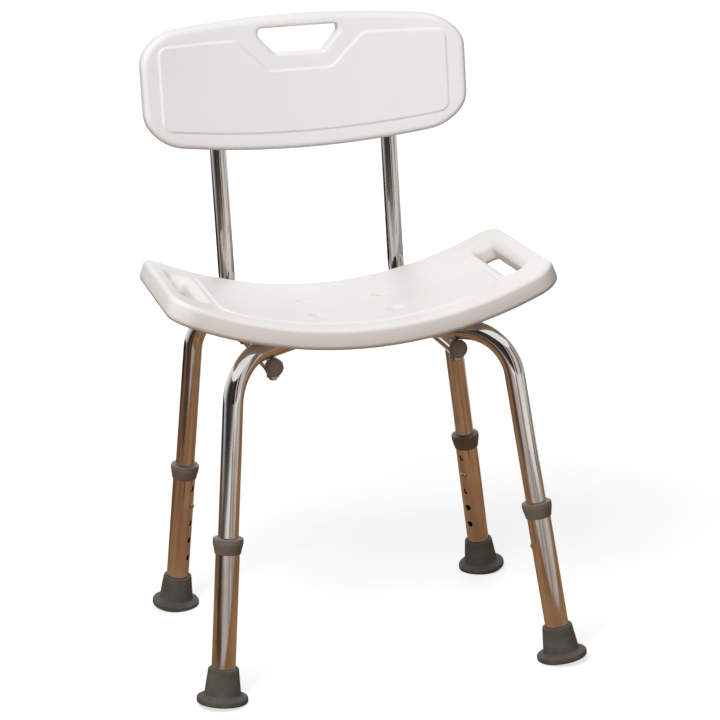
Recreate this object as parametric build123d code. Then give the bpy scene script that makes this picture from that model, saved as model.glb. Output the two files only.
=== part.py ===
from build123d import *
import os
from math import asin, cos, radians, sin, sqrt, tan

# Height-adjustable shower chair: a blow-moulded seat and backrest on a bent tube frame.
# Millimetres. +Z is up, -Y is the front where the sitter's knees are, and X runs across.
# The origin is on the floor under the middle of the chair's outline. The backrest reaches further
# back than the rear feet do, so the middle of the four feet is FEET_AHEAD in front of the origin.
# The functions below work from the middle of the feet, and write() moves each piece forward.
FEET_AHEAD = 13.5

# ---- frame tubes: two bent tubes that cross under the seat -----------------------------------
TUBE_RADIUS = 12.7
TUBE_WALL = 1.2
FRAME_HEIGHT = 424.0
FRAME_BEND = 62.0
FRAME_ANGLE = 40.0
LEG_SPLAY = 8.4
FOOT_REACH = 288.0
CROSS_FLAT = 18.0
CROSS_ROUND = 46.0
CROSS_THICK = TUBE_RADIUS - 0.1
CROSS_WIDTH = 33.0

# ---- telescopic lower legs, heights measured up the leg from the floor ------------------------
LOWER_RADIUS = 15.0
LOWER_WALL = 1.3
COLLAR_TOP = 209.3
COLLAR_HEIGHT = 20.0
COLLAR_RADIUS = 19.0
COLLAR_FOOT_RADIUS = 16.2
COLLAR_CAP = 3.0
SLEEVE_LENGTH = 26.0
SLIDE_GAP = 0.05
INSERTION = 97.0
HOLE_PITCH = 25.4
HOLE_COUNT = 5
HOLE_RADIUS = 4.2
FIRST_HOLE = 32.6
BUTTON_HOLE = 1
BUTTON_RADIUS = 3.8
BUTTON_PROUD = 2.4

# ---- rubber feet ------------------------------------------------------------------------------
FOOT_HEIGHT = 45.5
FOOT_BASE = 1.4
FLANGE_RADIUS = 32.0
FLANGE_THICK = 8.0
CUP_BASE_RADIUS = 23.0
CUP_RIM_RADIUS = 19.0
CUP_FLOOR = 10.0
WASHER_THICK = 2.0

# ---- seat -------------------------------------------------------------------------------------
SEAT_TOP = 447.0
SEAT_THICK = 28.0
SEAT_CURVE = 525.0
SEAT_HALF_ANGLE = 27.2
SEAT_DEPTH = 285.0
SEAT_CORNER = 33.0
SEAT_TOP_EDGE = 6.0
SEAT_FOOT_EDGE = 7.0
PAD_PROUD = 1.8
SEAT_PAD = (359.0, 226.0)
SEAT_PAD_CORNER = 28.0
GRIP_AT = 204.5
GRIP_SIZE = (23.0, 156.0)
GRIP_CORNER = 9.0
GRIP_TOP_EDGE = 10.0
GRIP_FOOT_EDGE = 7.0
DRAINS = [(50.0, -66.0), (50.0, 18.0)]
DRAIN_RADIUS = 4.5
DISH_RADIUS = 14.0
DISH_DEPTH = 2.2
TACK_PLACES = [(0.0, 108.0), (70.0, 118.0), (150.0, 52.0)]
TACK_RADIUS = 13.0
TACK_TIP_RADIUS = 7.0
TACK_DEPTH = 13.0
TACK_EDGE = 2.5

# ---- back tubes, one each side, bolted under the frame tubes ----------------------------------
BACK_RADIUS = 11.1
BACK_WALL = 1.2
BACK_X = 118.0
BACK_FRONT = -107.5
BACK_CORNER_Y = 202.0
BACK_BEND = 65.0
BACK_LEAN = 3.4
BACK_TOP = 706.0
CAP_RADIUS = 11.9
CAP_HEAD = 4.5

# ---- backrest panel ---------------------------------------------------------------------------
PANEL_MIDDLE = 710.0
PANEL_Y = 225.0
PANEL_THICK = 28.0
PANEL_CURVE = 630.0
PANEL_HALF_WIDTH = 219.5
PANEL_TOP = 797.0
PANEL_TOP_CURVE = 1800.0
PANEL_BOTTOM = 618.0
PANEL_BOTTOM_CURVE = 960.0
PANEL_CORNER = 50.0
PANEL_EDGE = 9.0
PANEL_GRIP_TOP = 781.0
PANEL_GRIP_FOOT = 747.0
PANEL_GRIP_SHOULDER = 771.0
PANEL_GRIP_HALF_TOP = 55.0
PANEL_GRIP_HALF_FOOT = 34.0
PANEL_GRIP_CORNER = 5.5
PANEL_GRIP_EDGE = 5.0
PAD_HALF_WIDTH = 195.0
PAD_CROWN = 769.0
PAD_FOOT = 659.0
PAD_ARCH = 18.0
PAD_CORNER = 12.0
NOTCH_FLOOR = 725.0
NOTCH_HALF_TOP = 87.0
NOTCH_HALF_FLOOR = 42.0
SOCKET_RADIUS = 15.0
SOCKET_TOP = 712.0

# ---- fasteners --------------------------------------------------------------------------------
BOLT_RADIUS = 2.95
BOLT_HOLE = 3.3
BOLT_HEAD_RADIUS = 5.2
BOLT_HEAD = 4.0
INSERT_RADIUS = 5.5
INSERT_HEIGHT = 12.0
SADDLE_RADIUS = 8.0
SADDLE_DROP = 3.0
SCREW_HEIGHTS = (650.0, 690.0)

# ---- sizes that follow from the ones above ----------------------------------------------------
CORNER_REACH = FOOT_REACH - FRAME_HEIGHT * tan(radians(LEG_SPLAY))
BACK_HEIGHT = FRAME_HEIGHT - TUBE_RADIUS - BACK_RADIUS
BOLT_REACH = BACK_X / cos(radians(FRAME_ANGLE))
BOLT_Y = BACK_X * tan(radians(FRAME_ANGLE))
BUTTON_AT = COLLAR_TOP - FIRST_HOLE - BUTTON_HOLE * HOLE_PITCH
BORE_RADIUS = TUBE_RADIUS - TUBE_WALL
LEGS = {"fl": 180.0 + FRAME_ANGLE, "fr": -FRAME_ANGLE, "rl": 180.0 - FRAME_ANGLE, "rr": FRAME_ANGLE}
BOLTS = [(x, y) for x in (-BACK_X, BACK_X) for y in (-BOLT_Y, BOLT_Y)]
TACKS = [(x, side * y) for x_out, y in TACK_PLACES for x in sorted({-x_out, x_out}) for side in (-1, 1)]

FROM_BASE = (Align.CENTER, Align.CENTER, Align.MIN)
HANGING = (Align.CENTER, Align.CENTER, Align.MAX)


def write(node, *solids):
    """One STEP file for each sub-part; identical pieces share one file."""
    placed = [Pos(0, -FEET_AHEAD, 0) * solid for solid in solids]
    shape = placed[0] if len(placed) == 1 else Compound(children=placed)
    export_step(shape, f"parts/{node}.step")


def rod(radius, start, end):
    """A cylinder between two points."""
    axis = Vector(*end) - Vector(*start)
    return Plane(origin=start, z_dir=axis) * Cylinder(radius, axis.length, align=FROM_BASE)


def leg_plane(angle):
    """A leg's own axes: Z runs up the leg from the floor, and X points at the middle of the chair."""
    out = Vector(cos(radians(angle)), sin(radians(angle)), 0)
    splay = radians(LEG_SPLAY)
    up = Vector(0, 0, cos(splay)) - out * sin(splay)
    inward = out * -cos(splay) - Vector(0, 0, sin(splay))
    return Plane(origin=out * FOOT_REACH, x_dir=inward, z_dir=up)


# ---- frame ------------------------------------------------------------------------------------
def frame_arm(radius):
    """Half a frame tube, from the flattened crossing round the bend and down into the leg."""
    end = COLLAR_TOP - INSERTION
    foot = (FOOT_REACH - end * sin(radians(LEG_SPLAY)), 0, end * cos(radians(LEG_SPLAY)))
    path = FilletPolyline(
        (CROSS_ROUND, 0, FRAME_HEIGHT), (CORNER_REACH, 0, FRAME_HEIGHT), foot, radius=FRAME_BEND
    )
    return sweep(Plane(origin=path @ 0, z_dir=path % 0) * Circle(radius), path=path)


def crossing(inset, centre):
    """The middle of a frame tube, pressed flat so that the two tubes lie one over the other."""
    round_end = Plane(origin=(CROSS_ROUND, 0, FRAME_HEIGHT), x_dir=(0, 1, 0), z_dir=(1, 0, 0))
    flat_end = Plane(origin=(CROSS_FLAT, 0, centre), x_dir=(0, 1, 0), z_dir=(1, 0, 0))
    pressed = SlotOverall(CROSS_WIDTH - 2 * inset, CROSS_THICK - 2 * inset)
    half = loft([round_end * Circle(TUBE_RADIUS - inset), flat_end * pressed])
    half += extrude(flat_end * pressed, amount=-CROSS_FLAT)
    return half + mirror(half, about=Plane.YZ)


def frame_tube(angle, side):
    """A whole frame tube; side is -1 for the one that passes under at the crossing, 1 over."""
    centre = FRAME_HEIGHT + side * (TUBE_RADIUS - CROSS_THICK / 2)
    arm = frame_arm(TUBE_RADIUS) - frame_arm(BORE_RADIUS)
    tube = arm + mirror(arm, about=Plane.YZ) + (crossing(0, centre) - crossing(TUBE_WALL, centre))
    for reach in (-BOLT_REACH, 0, BOLT_REACH):
        tube -= Pos(reach, 0, FRAME_HEIGHT) * Cylinder(BOLT_HOLE, 3 * TUBE_RADIUS)
    tube = Rot(0, 0, angle) * tube
    for leg in (angle, angle + 180):
        tube -= leg_plane(leg) * rod(HOLE_RADIUS, (0, 0, BUTTON_AT), (2 * TUBE_RADIUS, 0, BUTTON_AT))
    return tube


def centre_bolt():
    """The bolt that holds the two frame tubes together where they cross, head on top."""
    top = FRAME_HEIGHT + TUBE_RADIUS
    head = Pos(0, 0, top) * Cylinder(BOLT_HEAD_RADIUS + 1.5, 2.4, align=FROM_BASE)
    head = fillet(head.edges().sort_by(Axis.Z)[-1], 1.6)
    return head + rod(BOLT_RADIUS, (0, 0, top - 2 * TUBE_RADIUS - 9), (0, 0, top))


def hex_nut(bottom):
    """An M6 hexagon nut with its corners turned off, standing on the given height."""
    nut = extrude(RegularPolygon(radius=5.0, side_count=6, major_radius=False), amount=5.0)
    return Pos(0, 0, bottom) * (nut - Cylinder(BOLT_RADIUS, 20))


# ---- telescopic legs ---------------------------------------------------------------------------
def lower_leg_tube():
    """The outer leg tube, with its row of height holes on the side that faces inward."""
    bottom = CUP_FLOOR + WASHER_THICK
    top = COLLAR_TOP - COLLAR_CAP
    tube = rod(LOWER_RADIUS, (0, 0, bottom), (0, 0, top))
    tube -= rod(LOWER_RADIUS - LOWER_WALL, (0, 0, bottom - 1), (0, 0, top + 1))
    for hole in range(HOLE_COUNT):
        height = COLLAR_TOP - FIRST_HOLE - hole * HOLE_PITCH
        tube -= rod(HOLE_RADIUS, (0, 0, height), (2 * LOWER_RADIUS, 0, height))
    return tube


def leg_collar():
    """The moulded collar: a tapered skirt, a cap on the tube's end and a sleeve between the tubes."""
    top = COLLAR_TOP
    skirt = COLLAR_TOP - COLLAR_HEIGHT
    slide = TUBE_RADIUS + SLIDE_GAP
    sleeve = LOWER_RADIUS - LOWER_WALL
    profile = Polyline(
        (slide, top),
        (COLLAR_RADIUS - 1.6, top),
        (COLLAR_RADIUS, top - 1.6),
        (COLLAR_RADIUS, top - 6.5),
        (COLLAR_FOOT_RADIUS, skirt),
        (LOWER_RADIUS, skirt),
        (LOWER_RADIUS, top - COLLAR_CAP),
        (sleeve, top - COLLAR_CAP),
        (sleeve, top - SLEEVE_LENGTH),
        (slide, top - SLEEVE_LENGTH),
        close=True,
    )
    return revolve(Plane.XZ * make_face(profile), axis=Axis.Z)


def rubber_foot(plane):
    """The cup and flange in line with the leg, with the tread worn flat where it meets the floor."""
    flange_top = FOOT_BASE + FLANGE_THICK
    profile = Polyline(
        (0, FOOT_BASE),
        (FLANGE_RADIUS - 3, FOOT_BASE),
        (FLANGE_RADIUS, FOOT_BASE + 3),
        (FLANGE_RADIUS, flange_top - 2),
        (FLANGE_RADIUS - 2.5, flange_top),
        (CUP_BASE_RADIUS, flange_top + 2),
        (CUP_RIM_RADIUS, FOOT_HEIGHT - 2),
        (CUP_RIM_RADIUS - 2, FOOT_HEIGHT),
        (LOWER_RADIUS, FOOT_HEIGHT),
        (LOWER_RADIUS, CUP_FLOOR),
        (0, CUP_FLOOR),
        close=True,
    )
    foot = plane * revolve(Plane.XZ * make_face(profile), axis=Axis.Z)
    return foot - Pos(plane.origin.X, plane.origin.Y, -20) * Box(100, 100, 40)


def foot_washer():
    """The steel washer that keeps the tube from cutting through the rubber."""
    return rod(LOWER_RADIUS - 0.2, (0, 0, CUP_FLOOR), (0, 0, CUP_FLOOR + WASHER_THICK)) - Cylinder(4, 80)


def snap_button():
    """The domed height button, with the flange that stops it inside the upper tube."""
    tip = LOWER_RADIUS + BUTTON_PROUD
    flange = BORE_RADIUS - 1.3
    button = rod(BUTTON_RADIUS, (flange, 0, BUTTON_AT), (tip, 0, BUTTON_AT))
    button = fillet(button.edges().sort_by(Axis.X)[-1], 2.2)
    return button + rod(5.0, (flange - 1.4, 0, BUTTON_AT), (flange, 0, BUTTON_AT))


def button_spring():
    """The V spring of strip steel behind the button, bearing on the far side of the upper tube."""
    strip = 0.6
    near = BORE_RADIUS - 2.7 - strip / 2
    far = -(sqrt(BORE_RADIUS**2 - 4.5**2) - strip / 2 - 0.05)
    line = FilletPolyline(
        (near, BUTTON_AT + 6),
        (near, BUTTON_AT - 5),
        (0, BUTTON_AT - 34),
        (far, BUTTON_AT - 5),
        (far, BUTTON_AT + 6),
        radius=[3, 2.5, 3],
    )
    face = trace(line, strip)
    return extrude(Plane.XZ * face, amount=4.5, both=True)


# ---- seat --------------------------------------------------------------------------------------
def arc_band(inner, outer, half_angle):
    """A band between two arcs about the origin, hanging down, spread equally to both sides."""
    swing = radians(half_angle)
    ends = [(r * sin(swing), -r * cos(swing)) for r in (inner, outer)]
    (ix, iz), (ox, oz) = ends
    outline = [
        ThreePointArc((-ix, iz), (0, -inner), (ix, iz)),
        Line((ix, iz), (ox, oz)),
        ThreePointArc((ox, oz), (0, -outer), (-ox, oz)),
        Line((-ox, oz), (-ix, iz)),
    ]
    return make_face(Wire(outline))


def seat_band(inner, outer, half_angle, depth):
    """The seat's curved slab between two radii."""
    centre = SEAT_TOP + SEAT_CURVE
    band = Plane.XZ * Pos(0, centre) * arc_band(inner, outer, half_angle)
    return extrude(band, amount=depth / 2, both=True)


def seat_shell():
    """The seat moulding: slab, hand slots, pad, drains, grooves for the frame and its underside."""
    slab = seat_band(SEAT_CURVE, SEAT_CURVE + SEAT_THICK, SEAT_HALF_ANGLE, SEAT_DEPTH)
    upright = slab.edges().filter_by(lambda e: e.geom_type == GeomType.LINE and abs((e % 0.5).Y) < 0.1)
    slab = fillet(upright, SEAT_CORNER)
    for side in (-1, 1):
        slab -= grip_slot(side)
    slab = round_seat(slab, SEAT_CURVE, SEAT_TOP_EDGE, GRIP_TOP_EDGE)
    slab = round_seat(slab, SEAT_CURVE + SEAT_THICK, SEAT_FOOT_EDGE, GRIP_FOOT_EDGE)
    slab += seat_pad()
    slab -= rod(BOLT_HEAD_RADIUS + 2.5, (0, 0, FRAME_HEIGHT), (0, 0, FRAME_HEIGHT + TUBE_RADIUS + 3))
    for side in (-1, 1):
        for x, y in DRAINS:
            slab -= drain(side * x, y)
    for x, y in TACKS:
        slab -= tack(x, y)
    for angle in (-FRAME_ANGLE, FRAME_ANGLE):
        slab -= Rot(0, 0, angle) * frame_channel()
    for x, y in BOLTS:
        slab -= rod(INSERT_RADIUS, (x, y, FRAME_HEIGHT), (x, y, insert_bottom() + INSERT_HEIGHT))
    return slab


def round_seat(slab, radius, rim, lip):
    """Rounds the outline and the hand slots where they meet the top or the under skin."""

    def in_slot(edge):
        middle = edge.center()
        return abs(abs(middle.X) - GRIP_AT) < GRIP_SIZE[0] and abs(middle.Y) < GRIP_SIZE[1] / 2 + 1

    slab = fillet(skin_edges(slab, radius).filter_by(lambda e: not in_slot(e)), rim)
    return fillet(skin_edges(slab, radius).filter_by(in_slot), lip)


def tack(x, y):
    """A tapered hollow in the underside, square to the skin, where the two walls are tacked together."""
    swing = asin(x / SEAT_CURVE)
    outward = Vector(sin(swing), 0, -cos(swing))
    base = Vector(0, y, SEAT_TOP + SEAT_CURVE) + outward * (SEAT_CURVE + SEAT_THICK)
    mouth = 2 * TACK_RADIUS - TACK_TIP_RADIUS
    cone = Cone(mouth, TACK_TIP_RADIUS, 2 * TACK_DEPTH)
    cone = fillet(cone.edges().sort_by(Axis.Z)[-1], TACK_EDGE)
    return Plane(origin=base, z_dir=outward * -1) * cone


def grip_slot(side):
    """The hand slot, cut square to the seat's surface."""
    swing = asin(GRIP_AT / SEAT_CURVE)
    radial = Vector(side * sin(swing), 0, -cos(swing))
    centre = Vector(0, 0, SEAT_TOP + SEAT_CURVE) + radial * (SEAT_CURVE + SEAT_THICK / 2)
    slot = Plane(origin=centre, x_dir=(side * cos(swing), 0, sin(swing)), z_dir=radial)
    return extrude(slot * RectangleRounded(*GRIP_SIZE, GRIP_CORNER), amount=2 * SEAT_THICK, both=True)


def seat_pad():
    """The raised sitting area, with a rounded step down to the rim."""
    pad = seat_band(SEAT_CURVE - PAD_PROUD, SEAT_CURVE + 4, SEAT_HALF_ANGLE, SEAT_DEPTH)
    pad &= extrude(Pos(0, 0, SEAT_TOP) * RectangleRounded(*SEAT_PAD, SEAT_PAD_CORNER), amount=80, both=True)
    crown = pad.faces().filter_by(lambda f: f.geom_type == GeomType.CYLINDER)
    crown = crown.filter_by(lambda f: abs(f.radius - SEAT_CURVE + PAD_PROUD) < 0.1)
    return fillet(crown.edges(), PAD_PROUD - 0.3)


def drain(x, y):
    """A drain hole in a shallow dish, cut square to the seat's surface."""
    surface = SEAT_TOP + SEAT_CURVE - sqrt((SEAT_CURVE - PAD_PROUD) ** 2 - x**2)
    curve = (DISH_RADIUS**2 + DISH_DEPTH**2) / (2 * DISH_DEPTH)
    dish = Pos(x, y, surface + curve - DISH_DEPTH) * Sphere(curve)
    return dish + Pos(x, y, surface) * Cylinder(DRAIN_RADIUS, 3 * SEAT_THICK)


def frame_channel():
    """The groove in the seat's underside that a frame tube lies in, wider at the flat crossing."""
    reach = CORNER_REACH - 30
    radius = TUBE_RADIUS + 0.02
    groove = rod(radius, (-reach, 0, FRAME_HEIGHT), (reach, 0, FRAME_HEIGHT))
    groove += Pos(0, 0, FRAME_HEIGHT) * Box(2 * reach, 2 * radius, 60, align=HANGING)
    top = Pos(0, 0, FRAME_HEIGHT + TUBE_RADIUS + 0.05)
    return groove + top * Box(2 * CROSS_ROUND, CROSS_WIDTH + 0.6, 60, align=HANGING)


def insert_bottom():
    """The height of the inserts' lower faces, just clear of the frame tubes."""
    return FRAME_HEIGHT + TUBE_RADIUS + 0.5


def seat_insert(x, y):
    """A threaded brass insert moulded into the seat."""
    bottom = insert_bottom()
    body = rod(INSERT_RADIUS, (x, y, bottom), (x, y, bottom + INSERT_HEIGHT))
    return body - rod(BOLT_RADIUS, (x, y, bottom - 1), (x, y, bottom + INSERT_HEIGHT - 1.5))


def seat_bolt(x, y):
    """An M6 bolt up through back tube, frame tube and insert, its head under the saddle."""
    bearing = BACK_HEIGHT - BACK_RADIUS - SADDLE_DROP
    head = Pos(x, y, bearing) * Cylinder(BOLT_HEAD_RADIUS, BOLT_HEAD, align=HANGING)
    head = fillet(head.edges().sort_by(Axis.Z)[0], 1.8)
    head -= Pos(x, y, bearing - BOLT_HEAD) * extrude(
        RegularPolygon(radius=2.0, side_count=6, major_radius=False), amount=2.4
    )
    return head + rod(BOLT_RADIUS, (x, y, bearing), (x, y, insert_bottom() + INSERT_HEIGHT - 2))


def saddle(x, y):
    """The washer under the back tube, hollowed to the tube's round."""
    bearing = BACK_HEIGHT - BACK_RADIUS - SADDLE_DROP
    block = Pos(x, y, bearing) * Cylinder(SADDLE_RADIUS, SADDLE_DROP + 5, align=FROM_BASE)
    block -= rod(BACK_RADIUS, (x, y - 20, BACK_HEIGHT), (x, y + 20, BACK_HEIGHT))
    return block - Pos(x, y, BACK_HEIGHT) * Cylinder(BOLT_HOLE, 60)


# ---- back tubes --------------------------------------------------------------------------------
def upright_y(height):
    """Where the leaning part of a back tube is at a height."""
    return BACK_CORNER_Y + (height - BACK_HEIGHT) * tan(radians(BACK_LEAN))


def back_tube(x):
    """The tube that runs back under the seat and turns up into the backrest."""
    path = FilletPolyline(
        (x, BACK_FRONT, BACK_HEIGHT),
        (x, BACK_CORNER_Y, BACK_HEIGHT),
        (x, upright_y(BACK_TOP), BACK_TOP),
        radius=BACK_BEND,
    )
    start = Plane(origin=path @ 0, z_dir=path % 0)
    tube = sweep(start * Circle(BACK_RADIUS), path=path)
    tube -= sweep(start * Circle(BACK_RADIUS - BACK_WALL), path=path)
    for y in (-BOLT_Y, BOLT_Y):
        tube -= Pos(x, y, BACK_HEIGHT) * Cylinder(BOLT_HOLE, 3 * BACK_RADIUS)
    for height in SCREW_HEIGHTS:
        tube -= screw_line(x, height, 2.2, 0, 20)
    return tube


def back_tube_cap(x):
    """The domed plug in the open front end of a back tube."""
    face = BACK_FRONT - CAP_HEAD
    head = rod(CAP_RADIUS, (x, face, BACK_HEIGHT), (x, BACK_FRONT, BACK_HEIGHT))
    head = fillet(head.edges().sort_by(Axis.Y)[0], 2.0)
    stem = rod(BACK_RADIUS - BACK_WALL, (x, BACK_FRONT, BACK_HEIGHT), (x, BACK_FRONT + 4.5, BACK_HEIGHT))
    return head + stem


def screw_line(x, height, radius, start, end):
    """A rod square to the back tube's upright, between two distances behind its axis."""
    lean = radians(BACK_LEAN)
    behind = Vector(0, cos(lean), -sin(lean))
    axis = Vector(x, upright_y(height), height)
    return rod(radius, tuple(axis + behind * start), tuple(axis + behind * end))


def panel_screw(x, height):
    """A pan-head screw through the socket's rear wall and the tube behind it."""
    head = screw_line(x, height, 4.2, SOCKET_RADIUS, SOCKET_RADIUS + 2.6)
    head = fillet(head.edges().sort_by(Axis.Y)[-1], 1.6)
    return head + screw_line(x, height, 2.1, BACK_RADIUS - 7, SOCKET_RADIUS)


# ---- backrest panel -----------------------------------------------------------------------------
def panel_outline():
    """The backrest seen from the front: gently arched top and bottom, straight sides."""
    drop = PANEL_HALF_WIDTH**2 / 2
    top = PANEL_TOP - drop / PANEL_TOP_CURVE
    bottom = PANEL_BOTTOM + drop / PANEL_BOTTOM_CURVE
    half = PANEL_HALF_WIDTH
    outline = [
        ThreePointArc((-half, bottom), (0, PANEL_BOTTOM), (half, bottom)),
        Line((half, bottom), (half, top)),
        ThreePointArc((half, top), (0, PANEL_TOP), (-half, top)),
        Line((-half, top), (-half, bottom)),
    ]
    face = make_face(Wire(outline))
    return fillet(face.vertices(), PANEL_CORNER)


def panel_band(front, rear):
    """A tall band of the panel's curve between two depths from its middle surface, leaning back."""
    centre = PANEL_Y - PANEL_CURVE
    ring = Cylinder(PANEL_CURVE + rear, 300) - Cylinder(PANEL_CURVE + front, 300)
    ring &= Pos(0, PANEL_CURVE, 0) * Box(600, 400, 300)
    lean = Pos(0, PANEL_Y, PANEL_MIDDLE) * Rot(-BACK_LEAN, 0, 0) * Pos(0, -PANEL_Y, 0)
    return lean * Pos(0, centre, 0) * ring


def grip_outline():
    """The hand hole: wide at the top, with slanted lower sides."""
    top, foot = PANEL_GRIP_HALF_TOP, PANEL_GRIP_HALF_FOOT
    right = [(foot, PANEL_GRIP_FOOT), (top, PANEL_GRIP_SHOULDER), (top, PANEL_GRIP_TOP)]
    left = [(-x, height) for x, height in reversed(right)]
    shape = Polygon(*right, *left, align=None)
    return fillet(shape.vertices(), PANEL_GRIP_CORNER)


def pad_outline():
    """The raised area of the backrest: it drops round the hand hole, and its foot is gently arched."""
    right = [
        (PAD_HALF_WIDTH, PAD_FOOT),
        (PAD_HALF_WIDTH, PAD_CROWN),
        (NOTCH_HALF_TOP, PAD_CROWN),
        (NOTCH_HALF_FLOOR, NOTCH_FLOOR),
    ]
    left = [(-x, height) for x, height in reversed(right)]
    arch = ThreePointArc(left[-1], (0, PAD_FOOT - PAD_ARCH), right[0])
    rest = Polyline(*right, *left)
    return fillet(make_face(arch.edges() + rest.edges()).vertices(), PAD_CORNER)


def through(face):
    """A front-view outline carried right through the backrest, front to rear."""
    return extrude(Plane.XZ * face, amount=600, both=True)


def skin_edges(shape, radius):
    """The edges round the curved face of a given radius."""
    skin = shape.faces().filter_by(GeomType.CYLINDER).filter_by(lambda f: abs(f.radius - radius) < 0.1)
    return skin.edges()


def round_rims(panel, radius):
    """Rounds the outline and the hand hole where they meet the front or the rear face."""

    def in_hole(edge):
        middle = edge.center()
        beside = PANEL_GRIP_EDGE
        level = PANEL_GRIP_FOOT - beside < middle.Z < PANEL_GRIP_TOP + beside
        return level and abs(middle.X) < PANEL_GRIP_HALF_TOP + beside

    panel = fillet(skin_edges(panel, radius).filter_by(lambda e: not in_hole(e)), PANEL_EDGE)
    return fillet(skin_edges(panel, radius).filter_by(in_hole), PANEL_GRIP_EDGE)


def panel_pad():
    """The raised area, with its step rounded over."""
    pad = panel_band(-PANEL_THICK / 2 - PAD_PROUD, 0) & through(pad_outline())
    return fillet(skin_edges(pad, PANEL_CURVE - PANEL_THICK / 2 - PAD_PROUD), PAD_PROUD - 0.3)


def back_panel():
    """The backrest shell, with a socket moulded on its rear for each back tube."""
    panel = panel_band(-PANEL_THICK / 2, PANEL_THICK / 2) & through(panel_outline())
    panel -= through(grip_outline())
    for side in (-1, 1):
        panel = round_rims(panel, PANEL_CURVE + side * PANEL_THICK / 2)
    panel += panel_pad()
    for x in (-BACK_X, BACK_X):
        panel += socket(x, SOCKET_RADIUS, PANEL_BOTTOM + 8, SOCKET_TOP)
        panel -= socket(x, BACK_RADIUS, PANEL_BOTTOM - 40, BACK_TOP)
        for height in SCREW_HEIGHTS:
            panel -= screw_line(x, height, 2.1, 0, 30)
    return panel


def socket(x, radius, bottom, top):
    """A rod along a back tube's leaning upright, between two heights."""
    return rod(radius, (x, upright_y(bottom), bottom), (x, upright_y(top), top))


os.makedirs("parts", exist_ok=True)

write("frame_tube_a", frame_tube(FRAME_ANGLE, -1))
write("frame_tube_b", frame_tube(-FRAME_ANGLE, 1))
write("frame_centre_bolt", centre_bolt())
write("frame_centre_nut", hex_nut(FRAME_HEIGHT - TUBE_RADIUS - 5.0))
write("seat_shell", seat_shell())
write("seat_inserts", *[seat_insert(x, y) for x, y in BOLTS])
write("seat_bolts", *[seat_bolt(x, y) for x, y in BOLTS])
write("seat_bolt_saddles", *[saddle(x, y) for x, y in BOLTS])
for side, x in (("left", -BACK_X), ("right", BACK_X)):
    write(f"back_tube_{side}", back_tube(x))
    write(f"back_tube_cap_{side}", back_tube_cap(x))
write("back_panel", back_panel())
write("back_panel_screws", *[panel_screw(x, h) for x in (-BACK_X, BACK_X) for h in SCREW_HEIGHTS])
for leg, angle in LEGS.items():
    plane = leg_plane(angle)
    write(f"lower_leg_tube_{leg}", plane * lower_leg_tube())
    write(f"leg_collar_{leg}", plane * leg_collar())
    write(f"rubber_foot_{leg}", rubber_foot(plane))
    write(f"foot_washer_{leg}", plane * foot_washer())
    write(f"snap_button_{leg}", plane * snap_button())
    write(f"button_spring_{leg}", plane * button_spring())
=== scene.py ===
from math import asin, cos, pi, radians, sin, sqrt, tan

import bmesh
import bpy
import numpy as np
from mathutils import Matrix, Vector
from mathutils.geometry import delaunay_2d_cdt

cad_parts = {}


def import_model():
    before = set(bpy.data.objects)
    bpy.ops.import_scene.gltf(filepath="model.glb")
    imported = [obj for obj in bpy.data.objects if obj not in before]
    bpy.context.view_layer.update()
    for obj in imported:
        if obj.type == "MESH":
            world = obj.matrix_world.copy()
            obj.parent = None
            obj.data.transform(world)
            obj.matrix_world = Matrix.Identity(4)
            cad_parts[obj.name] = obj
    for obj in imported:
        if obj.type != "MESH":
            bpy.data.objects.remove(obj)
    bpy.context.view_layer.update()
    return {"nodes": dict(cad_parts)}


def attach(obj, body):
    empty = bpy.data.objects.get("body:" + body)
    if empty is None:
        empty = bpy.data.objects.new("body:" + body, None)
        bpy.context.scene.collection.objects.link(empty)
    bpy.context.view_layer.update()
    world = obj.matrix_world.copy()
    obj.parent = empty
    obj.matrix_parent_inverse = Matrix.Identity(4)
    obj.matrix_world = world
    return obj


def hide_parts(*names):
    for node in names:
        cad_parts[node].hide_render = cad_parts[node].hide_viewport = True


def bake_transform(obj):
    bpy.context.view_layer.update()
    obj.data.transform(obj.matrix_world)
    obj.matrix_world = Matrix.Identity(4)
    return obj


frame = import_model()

# Shower chair: a blow-moulded seat and backrest on chromed tube, with telescopic legs on rubber feet.
# Shapes are worked out in millimetres from the middle of the four feet, the way the part is drawn, and
# built() turns them to metres and moves them FEET_AHEAD forward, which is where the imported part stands.
MM = 0.001
FEET_AHEAD = 13.5

# ---- sizes, the same as the part's -------------------------------------------------------------
TUBE_RADIUS, TUBE_WALL = 12.7, 1.2
FRAME_HEIGHT, FRAME_BEND, FRAME_ANGLE = 424.0, 62.0, 40.0
CROSS_FLAT, CROSS_ROUND, CROSS_THICK, CROSS_WIDTH = 18.0, 46.0, 12.6, 33.0
LEG_SPLAY, FOOT_REACH = 8.4, 288.0
LOWER_RADIUS, LOWER_WALL = 15.0, 1.3
COLLAR_TOP, COLLAR_HEIGHT, COLLAR_RADIUS, COLLAR_FOOT_RADIUS, COLLAR_CAP = 209.3, 20.0, 19.0, 16.2, 3.0
SLEEVE_LENGTH, INSERTION = 26.0, 97.0
HOLE_PITCH, HOLE_COUNT, HOLE_RADIUS, HOLE_LIP, FIRST_HOLE = 25.4, 5, 4.2, 0.35, 32.6
FOOT_HEIGHT, FOOT_BASE, FLANGE_RADIUS, FLANGE_THICK = 45.5, 1.4, 32.0, 8.0
CUP_BASE_RADIUS, CUP_RIM_RADIUS, CUP_FLOOR, WASHER_THICK = 23.0, 19.0, 10.0, 2.0
TREAD_RINGS, TREAD_GROOVE = (8.0, 14.0, 20.0), [(-1.3, 0.0), (-0.9, 1.4), (0.9, 1.4), (1.3, 0.0)]
SPRING_THICK, SPRING_HALF_WIDTH, SPRING_TIP, SPRING_BEND, SPRING_FOLD = 0.6, 4.5, 6.0, -5.0, -34.0
BUTTON_BACK = 2.7
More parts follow.
